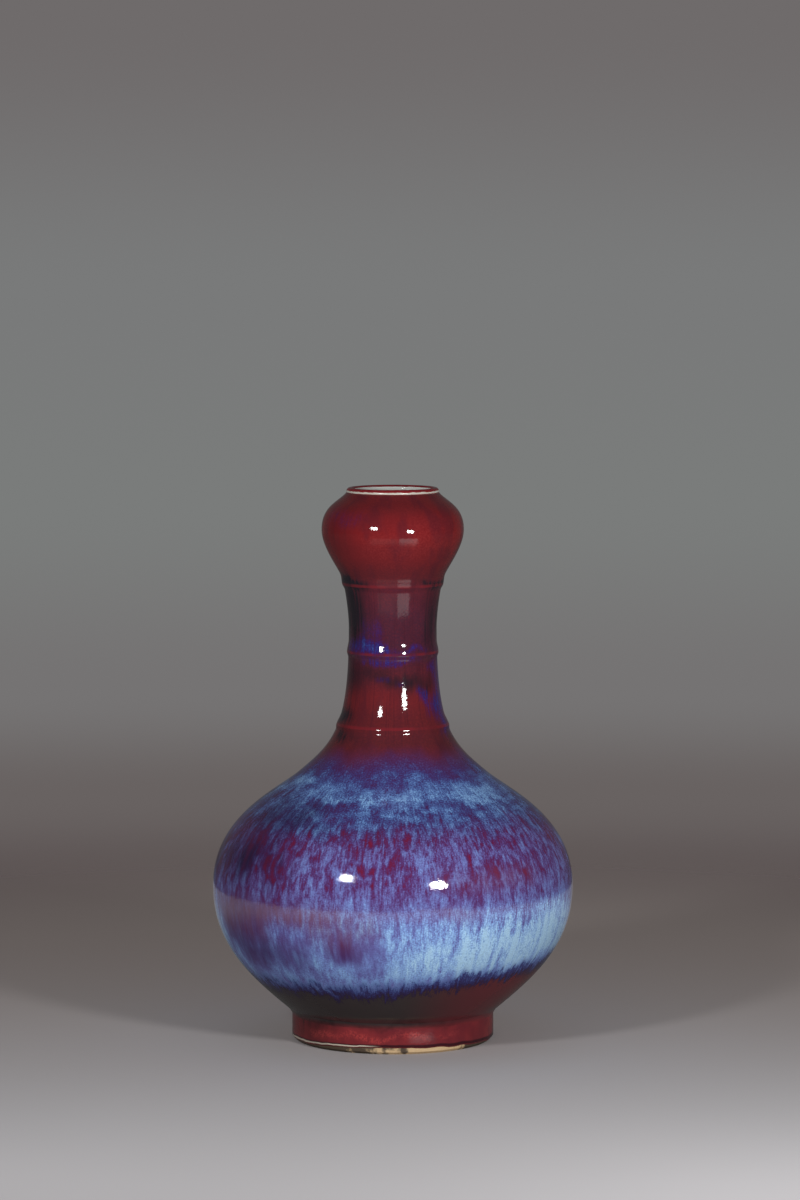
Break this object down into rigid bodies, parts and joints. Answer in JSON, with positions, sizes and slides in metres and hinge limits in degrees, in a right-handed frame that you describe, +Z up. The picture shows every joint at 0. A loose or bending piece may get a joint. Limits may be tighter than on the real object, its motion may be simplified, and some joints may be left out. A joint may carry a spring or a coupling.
{
  "type": "garlic head vase",
  "caption": "Bottle vase with a globular belly, ribbed slender neck and garlic-shaped mouth on a straight foot ring, in streaked red and blue flambe glaze, for standing flower stems.",
  "frame": {"origin": "centre of the foot ring's standing face", "axes": "+Z up along the axis of the vase, +X and +Y across it"},
  "size_m": [0.189, 0.189, 0.29],
  "materials": {
    "porcelain": "fired unglazed porcelain, fine grained, buff where bare",
    "slip": "fired luting slip",
    "red_flambe": "glossy copper red glaze, mottled",
    "blue_flambe": "glossy streaked lavender blue glaze that ran over the red",
    "white_rim": "glossy white line where the glaze drained thin",
    "red_lip": "glossy copper red glaze",
    "white_lining": "glossy greyish white glaze",
    "brown_base": "thin brown glaze"
  },
  "bodies": {
    "root": {"foot_ring": "porcelain", "lower_body": "porcelain", "shoulder": "porcelain", "neck": "porcelain", "garlic_head": "porcelain", "foot_joint_slip": "slip", "belly_joint_slip": "slip", "neck_joint_slip": "slip", "head_joint_slip": "slip", "red_glaze": "red_flambe", "blue_flow_glaze": "blue_flambe", "white_rim_line": "white_rim", "lip_glaze": "red_lip", "inner_glaze": "white_lining", "base_glaze": "brown_base"}
  },
  "joints": []
}
